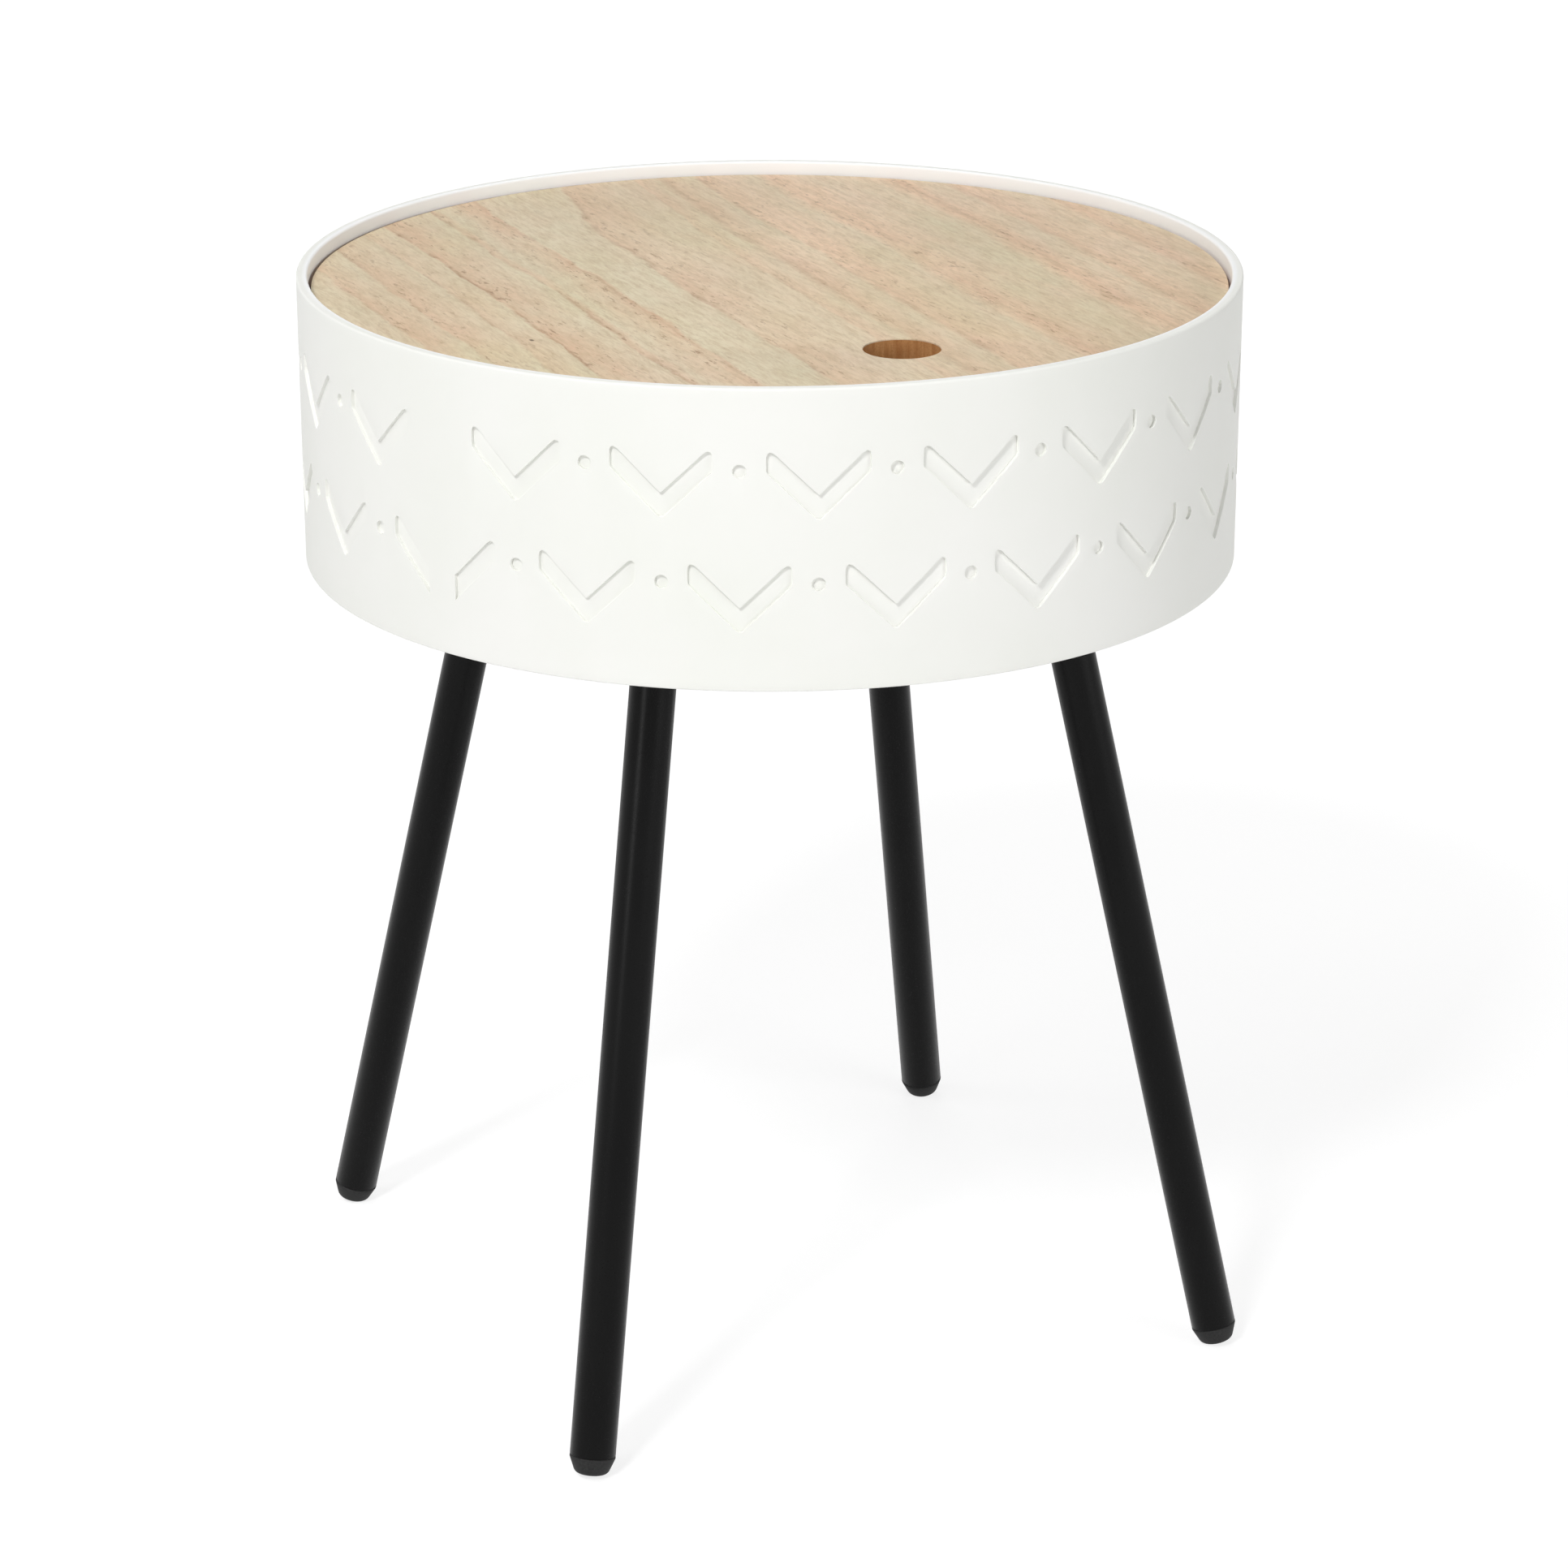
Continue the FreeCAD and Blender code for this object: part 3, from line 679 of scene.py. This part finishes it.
wood = blend_colours(tree, spread(tree, axes["X"], *WOOD_CHANGE), LEFT_WOOD, RIGHT_WOOD)
wood = blend_colours(tree, spread(tree, figure["cloud"], *CLOUD_SHOWS), wood, CLOUD_WOOD)
wood = blend_colours(tree, spread(tree, figure["tinge"], *OCHRE_SHOWS), wood, OCHRE_TINGE)
wood = blend_colours(tree, spread(tree, figure["tinge"], *ROSY_SHOWS), wood, ROSY_TINGE)
pale_share = sums(tree, "MULTIPLY", pale, spread(tree, figure["mottle"], *PALE_SHOWS))
wood = blend_colours(tree, pale_share, wood, PALE_WOOD)
warm_share = sums(tree, "MULTIPLY", warm, spread(tree, figure["mottle"], *WARM_SHOWS))
wood = blend_colours(tree, warm_share, wood, WARM_WOOD)
line_share = sums(tree, "MULTIPLY", line, spread(tree, figure["broken"], *LINE_SHOWS))
wood = blend_colours(tree, line_share, wood, RING_LINE)
wood = blend_colours(tree, spread(tree, figure["fibres"], *FIBRE_SHOWS), wood, FIBRE)
near_line = spread(tree, warm, *PORES_BY_WARMTH)
pores = sums(tree, "MULTIPLY", spread(tree, figure["flecks"], *FLECK_SHOWS), near_line)
wood = blend_colours(tree, pores, wood, PORE)
knot_way = vectors(tree, "MULTIPLY", vectors(tree, "SUBTRACT", place, KNOT_PLACE), KNOT_STRETCH)
knot_share = spread(tree, length_of(tree, knot_way), KNOT_CORE, KNOT_REACH, KNOT_SHARE, 0.0)
wood = blend_colours(tree, knot_share, wood, KNOT)
colour_and_gloss(tree, shader, wood, figure["fibres"], VENEER_ROUGHNESS)
relief(tree, shader, sums(tree, "SUBTRACT", figure["fibres"], pores), VENEER_DEPTH, VENEER_STRENGTH)
dress(top_face, veneer)
dress(under_face, veneer)
for layer, node, finish in (
    (core, "lid_core", "brown_board"),
    (top_face, "lid_top_veneer", "pale_veneer"),
    (under_face, "lid_bottom_veneer", "pale_veneer"),
):
    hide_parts(node)
    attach(layer, "lid")


# Leg plates
# Pressed steel plates with a slanted seat for the leg, powder coated black and screwed under the base.
LEG_SIDES = {"front_left": -135, "front_right": -45, "back_right": 45, "back_left": 135}
POWDER_BLACK = (0.0022, 0.0022, 0.0023, 1)
POWDER_GREY = (0.0042, 0.0042, 0.0042, 1)
POWDER_STREAKS = (60, 60, 9)
POWDER_SPECKS = (1400, 1400, 1400)
POWDER_ROUGHNESS = (0.27, 0.34)
POWDER_DEPTH = 0.03 * MM
POWDER_STRENGTH = 0.35

powder, tree, shader = new_material("black_powder_coat", Specular_IOR_Level=0.11)
place = place_of(tree)
specks = noise(tree, place, POWDER_SPECKS, detail=2)
streaks = noise(tree, place, POWDER_STREAKS, detail=3)
tint = blend_colours(tree, spread(tree, streaks, *NOISE_SPAN), POWDER_BLACK, POWDER_GREY)
colour_and_gloss(tree, shader, tint, specks, POWDER_ROUGHNESS)
relief(tree, shader, specks, POWDER_DEPTH, POWDER_STRENGTH)
for side in LEG_SIDES:
    dress_node(side + "_leg_plate", powder)


# Plate screws and leg studs
# Steel screws with pan heads and steel studs with a metric thread, both bright zinc plated.
ZINC_BRIGHT = srgb(196, 198, 198)
ZINC_DULL = srgb(168, 170, 172)
ZINC_BLOOM = (350, 350, 350)
ZINC_ROUGHNESS = (0.28, 0.45)
ZINC_DEPTH = 0.02 * MM
ZINC_STRENGTH = 0.3

zinc, tree, shader = new_material("zinc_plate", Metallic=1.0)
bloom = noise(tree, place_of(tree), ZINC_BLOOM, detail=3)
colour_and_gloss(tree, shader, blend_colours(tree, bloom, ZINC_BRIGHT, ZINC_DULL), bloom, ZINC_ROUGHNESS)
relief(tree, shader, bloom, ZINC_DEPTH, ZINC_STRENGTH)
dress_node("plate_screws", zinc)
for side in LEG_SIDES:
    dress_node(side + "_leg_stud", zinc)


# Leg plugs
# Turned plugs of black plastic, pressed into the tops of the tubes. Each holds its stud and seats on the
# plate.
PLASTIC_BLACK = (0.012, 0.012, 0.012, 1)
PLASTIC_GREY = (0.03, 0.03, 0.03, 1)
PLASTIC_CELLS = (1000, 1000, 1000)
PLASTIC_ROUGHNESS = (0.5, 0.7)
PLASTIC_DEPTH = 0.06 * MM
PLASTIC_STRENGTH = 0.6

plastic, tree, shader = new_material("black_plastic", Specular_IOR_Level=0.2)
sanding = noise(tree, place_of(tree), PLASTIC_CELLS, detail=3, roughness=0.7)
tint = blend_colours(tree, spread(tree, sanding, *NOISE_SPAN), PLASTIC_BLACK, PLASTIC_GREY)
colour_and_gloss(tree, shader, tint, sanding, PLASTIC_ROUGHNESS)
relief(tree, shader, sanding, PLASTIC_DEPTH, PLASTIC_STRENGTH)
for side in LEG_SIDES:
    dress_node(side + "_leg_plug", plastic)


# Legs
# Four straight round steel tubes, powder coated matt black, splayed outwards along the diagonals. Each is
# screwed by its stud to a plate, and its lower edge is broken.
SPLAY = math.radians(13.3)
LEG_CIRCLE = 123 * MM
TUBE_RADIUS = 9.2 * MM
TUBE_WALL = 1.2 * MM
TUBE_START = 15 * MM
TUBE_STEPS = 72
TUBE_CREASE = 50
EDGE_BREAK = 0.4 * MM
EDGE_BREAK_STEPS = 2
CAP_HEIGHT = 7.6 * MM
CAP_TIP_RADIUS = 6.6 * MM
CAP_LIP = 1 * MM
CAP_ROUND = 2.6 * MM
FLOOR_FLAT = 0.3 * MM

cap_lean = math.atan((TUBE_RADIUS - CAP_TIP_RADIUS) / (CAP_HEIGHT - CAP_LIP))
cap_flat_radius = CAP_TIP_RADIUS - CAP_ROUND / math.tan(math.pi / 4 + cap_lean / 2)
cap_reach = (HEM + FLOOR_FLAT - CAP_ROUND - cap_flat_radius * math.sin(SPLAY)) / math.cos(SPLAY)
tube_end = cap_reach - CAP_HEIGHT + CAP_ROUND


def copy_to_leg(pattern, side, name):
    """Copy of a leg piece, drawn upright under the origin, moved to its slanted place."""
    piece = pattern.copy()
    piece.data = pattern.data.copy()
    piece.name = name
    bpy.context.collection.objects.link(piece)
    piece.matrix_world = (Matrix.Rotation(math.radians(LEG_SIDES[side]), 4, "Z")
                          @ Matrix.Translation((LEG_CIRCLE, 0, HEM)) @ Matrix.Rotation(-SPLAY, 4, "Y"))
    only(piece)
    fix_place()
    return piece


tube = fresh(bpy.ops.mesh.primitive_cylinder_add, vertices=TUBE_STEPS, radius=TUBE_RADIUS,
             depth=tube_end - TUBE_START, location=(0, 0, -(tube_end + TUBE_START) / 2))
fix_place()
edit(tube)
pick("faces", lambda p: near(p.x, 0) and near(p.y, 0))
bpy.ops.mesh.inset(thickness=TUBE_WALL)
bpy.ops.mesh.bridge_edge_loops()
pick("edges", lambda p: near(p.z, -tube_end) and math.hypot(p.x, p.y) > TUBE_RADIUS - EDGE_SLACK)
round_off("EDGES", EDGE_BREAK, EDGE_BREAK_STEPS)
close_mesh()
done()
smooth(tube, TUBE_CREASE)
dress(tube, powder)
for side in LEG_SIDES:
    leg = copy_to_leg(tube, side, side + "_tube")
    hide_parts(side + "_leg")
    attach(leg, "table")
bpy.data.objects.remove(tube)


# Foot caps
# Moulded black plastic caps with a stem pressed into the tube, a short lip and a tapered, rounded tip that
# is worn flat where it stands on the floor.
CAP_STEM = 14 * MM
CAP_CLEARANCE = 0.05 * MM
CAP_FIT = TUBE_RADIUS - TUBE_WALL - CAP_CLEARANCE
CAP_ROUND_STEPS = 6
CAP_CREASE = 30

cap_profile = [
    (CAP_FIT, CAP_STEM - tube_end),
    (CAP_FIT, -tube_end),
    (TUBE_RADIUS - EDGE_BREAK, -tube_end),
    (TUBE_RADIUS, -tube_end - EDGE_BREAK),
    (TUBE_RADIUS, -tube_end - CAP_LIP),
]
round_level = -(tube_end + CAP_HEIGHT) + CAP_ROUND
for k in range(CAP_ROUND_STEPS + 1):
    turn = -cap_lean - k / CAP_ROUND_STEPS * (math.pi / 2 - cap_lean)
    round_radius = cap_flat_radius + CAP_ROUND * math.cos(turn)
    cap_profile.append((round_radius, round_level + CAP_ROUND * math.sin(turn)))
radius, level = cap_profile[0]
cap = fresh(bpy.ops.mesh.primitive_circle_add, vertices=TUBE_STEPS, radius=radius, fill_type="NGON",
            location=(0, 0, level))
fix_place()
edit(cap)
bpy.ops.mesh.select_all(action="SELECT")
for next_radius, next_level in cap_profile[1:]:
    bpy.ops.mesh.extrude_region_move(TRANSFORM_OT_translate={"value": (0, 0, next_level - level)})
    share = next_radius / radius
    bpy.ops.transform.resize(value=(share, share, 1), center_override=(0, 0, next_level))
    radius, level = next_radius, next_level
close_mesh()
done()
for side in LEG_SIDES:
    foot = copy_to_leg(cap, side, side + "_cap")
    edit(foot)
    saw((0, 0, 0), (0, 0, 1), clear_inner=True, use_fill=True, threshold=CUT_SLACK)
    close_mesh()
    done()
    smooth(foot, CAP_CREASE)
    dress(foot, plastic)
    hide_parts(side + "_foot_cap")
    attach(foot, "table")
bpy.data.objects.remove(cap)


# Floor, light and camera
# A flat pale floor that shows white and keeps the table's faint shadow, a weak sky, a small key lamp high at
# the front left and soft lamps round it. The floor is clear from below, for looking at the underside.
FLOOR_SIZE = 14
FLOOR_DROP = 0.2 * MM
FLOOR_LIT = (0.94, 0.94, 0.94, 1)
FLOOR_SEEN = (0.32, 0.32, 0.32, 1)
WHITE = (1, 1, 1, 1)
NEAR_FLOOR = 0.4
FAR_FLOOR = 2.4
NEAR_WHITENESS = 0.8
FAR_WHITENESS = 0.99
SKY_LIGHT = 0.1
SKY_SEEN = 1.0

floor = fresh(bpy.ops.mesh.primitive_plane_add, size=FLOOR_SIZE, location=(0, 0, -FLOOR_DROP))
floor.name = "floor"
fix_place()


def seen_rays(tree):
    """One for rays that see the background: from the camera, mirrored or through something clear."""
    rays = add_node(tree, "ShaderNodeLightPath").outputs
    seen = sums(tree, "MAXIMUM", rays["Is Camera Ray"], rays["Is Glossy Ray"])
    return sums(tree, "MAXIMUM", seen, rays["Is Transmission Ray"])


paper, tree, shader = new_material("pale_floor", Roughness=1.0, Specular_IOR_Level=0.0, Emission_Color=WHITE)
seen = seen_rays(tree)
tree.links.new(blend_colours(tree, seen, FLOOR_LIT, FLOOR_SEEN), shader.inputs["Base Color"])
from_table = length_of(tree, place_of(tree))
whiteness = spread(tree, from_table, NEAR_FLOOR, FAR_FLOOR, NEAR_WHITENESS, FAR_WHITENESS)
tree.links.new(sums(tree, "MULTIPLY", seen, whiteness), shader.inputs["Emission Strength"])
clear = add_node(tree, "ShaderNodeBsdfTransparent").outputs[0]
behind = add_node(tree, "ShaderNodeNewGeometry").outputs["Backfacing"]
both = add_node(tree, "ShaderNodeMixShader", {0: behind, 1: shader.outputs[0], 2: clear})
tree.links.new(both.outputs[0], tree.nodes["Material Output"].inputs["Surface"])
dress(floor, paper)

world = bpy.data.worlds.new("studio")
bpy.context.scene.world = world
world.use_nodes = True
tree = world.node_tree
background = tree.nodes["Background"]
background.inputs["Color"].default_value = WHITE
tree.links.new(spread(tree, seen_rays(tree), 0, 1, SKY_LIGHT, SKY_SEEN), background.inputs["Strength"])

# Each lamp has its place, the point it looks at, its width and height in metres and its power in watts.
LID_CENTRE = (0, 0, 0.4)
LEG_CENTRE = (0, 0, 0.35)
LAMPS = {
    "key_lamp": ((-1.82, -1.53, 2.69), LID_CENTRE, 0.5, 0.5, 54),
    "left_lamp": ((-1.9, 0.34, 2.7), LID_CENTRE, 1.2, 1.0, 18),
    "right_lamp": ((1.55, -2.62, 1.05), LID_CENTRE, 1.9, 1.2, 33),
    "back_lamp": ((0.6, 1.75, 2.9), LID_CENTRE, 1.5, 1.2, 12),
    "top_lamp": ((0.3, -0.1, 3.2), LID_CENTRE, 1.5, 1.5, 10),
    "strip_lamp": ((-2.3, -1.22, 0.5), LEG_CENTRE, 0.6, 0.95, 8),
}
for name, (place, target, width, height, power) in LAMPS.items():
    lamp_data = bpy.data.lights.new(name, "AREA")
    lamp_data.shape = "RECTANGLE"
    lamp_data.size = width
    lamp_data.size_y = height
    lamp_data.energy = power
    lamp = bpy.data.objects.new(name, lamp_data)
    lamp.location = place
    lamp.rotation_euler = (Vector(target) - Vector(place)).to_track_quat("-Z", "Y").to_euler()
    bpy.context.collection.objects.link(lamp)

CAMERA_PLACE = (-0.7578, -1.6923, 0.9048)
CAMERA_WAY = (0.38625, 0.85553, -0.3448)
CAMERA_LENS = 108.253
CAMERA_SENSOR = 36
camera_data = bpy.data.cameras.new("camera")
camera_data.lens = CAMERA_LENS
camera_data.sensor_width = CAMERA_SENSOR
camera = bpy.data.objects.new("camera", camera_data)
camera.location = CAMERA_PLACE
camera.rotation_euler = Vector(CAMERA_WAY).to_track_quat("-Z", "Y").to_euler()
bpy.context.collection.objects.link(camera)
bpy.context.scene.camera = camera
bpy.context.scene.view_settings.view_transform = "Standard"
